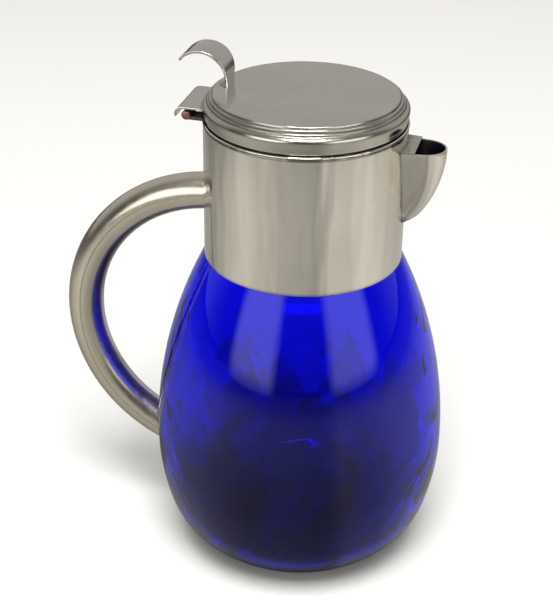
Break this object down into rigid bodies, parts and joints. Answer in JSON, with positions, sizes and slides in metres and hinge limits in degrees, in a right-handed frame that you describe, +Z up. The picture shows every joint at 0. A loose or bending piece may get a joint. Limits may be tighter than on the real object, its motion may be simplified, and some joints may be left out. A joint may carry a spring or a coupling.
{
  "type": "lidded water jug",
  "caption": "Cobalt glass water jug with a metal neck collar, beak spout, tubular handle and a hinged lid with a thumb lift.",
  "frame": {"origin": "centre of the flat base, on the axis of the glass", "axes": "+Z up along the axis of the glass, +X towards the spout, handle and hinge on -X, +Y to the left of the spout"},
  "size_m": [0.2051, 0.152, 0.2753],
  "materials": {
    "cobalt_glass": "clear blown glass, deep cobalt blue, glossy",
    "polished_silver": "polished silver plate, slightly warm and worn",
    "satin_silver": "satin silver plate with fine wear",
    "dark_silver": "tarnished silver plate",
    "copper": "dull copper-coloured pin",
    "solder": "rough grey solder",
    "plaster": "matt setting plaster"
  },
  "bodies": {
    "jug": {"glass_body": "cobalt_glass", "neck_cement": "plaster", "collar_sleeve": "polished_silver", "collar_wire": "polished_silver", "spout_shell": "polished_silver", "spout_bridge": "polished_silver", "hinge_bracket": "dark_silver", "hinge_pin": "copper", "handle_outer": "satin_silver", "handle_inner": "satin_silver", "handle_end": "satin_silver"},
    "lid": {"lid_shell": "satin_silver", "lid_skirt": "dark_silver", "lid_leaf": "satin_silver", "leaf_solder": "solder", "thumb_lift": "satin_silver", "lift_solder": "solder"}
  },
  "joints": [
    {"name": "lid_hinge", "type": "hinge", "parent": "jug", "child": "lid", "pos_m": [-0.0565, 0, 0.244], "axis": [0, -1, 0], "range_deg": [0, 105]}
  ]
}
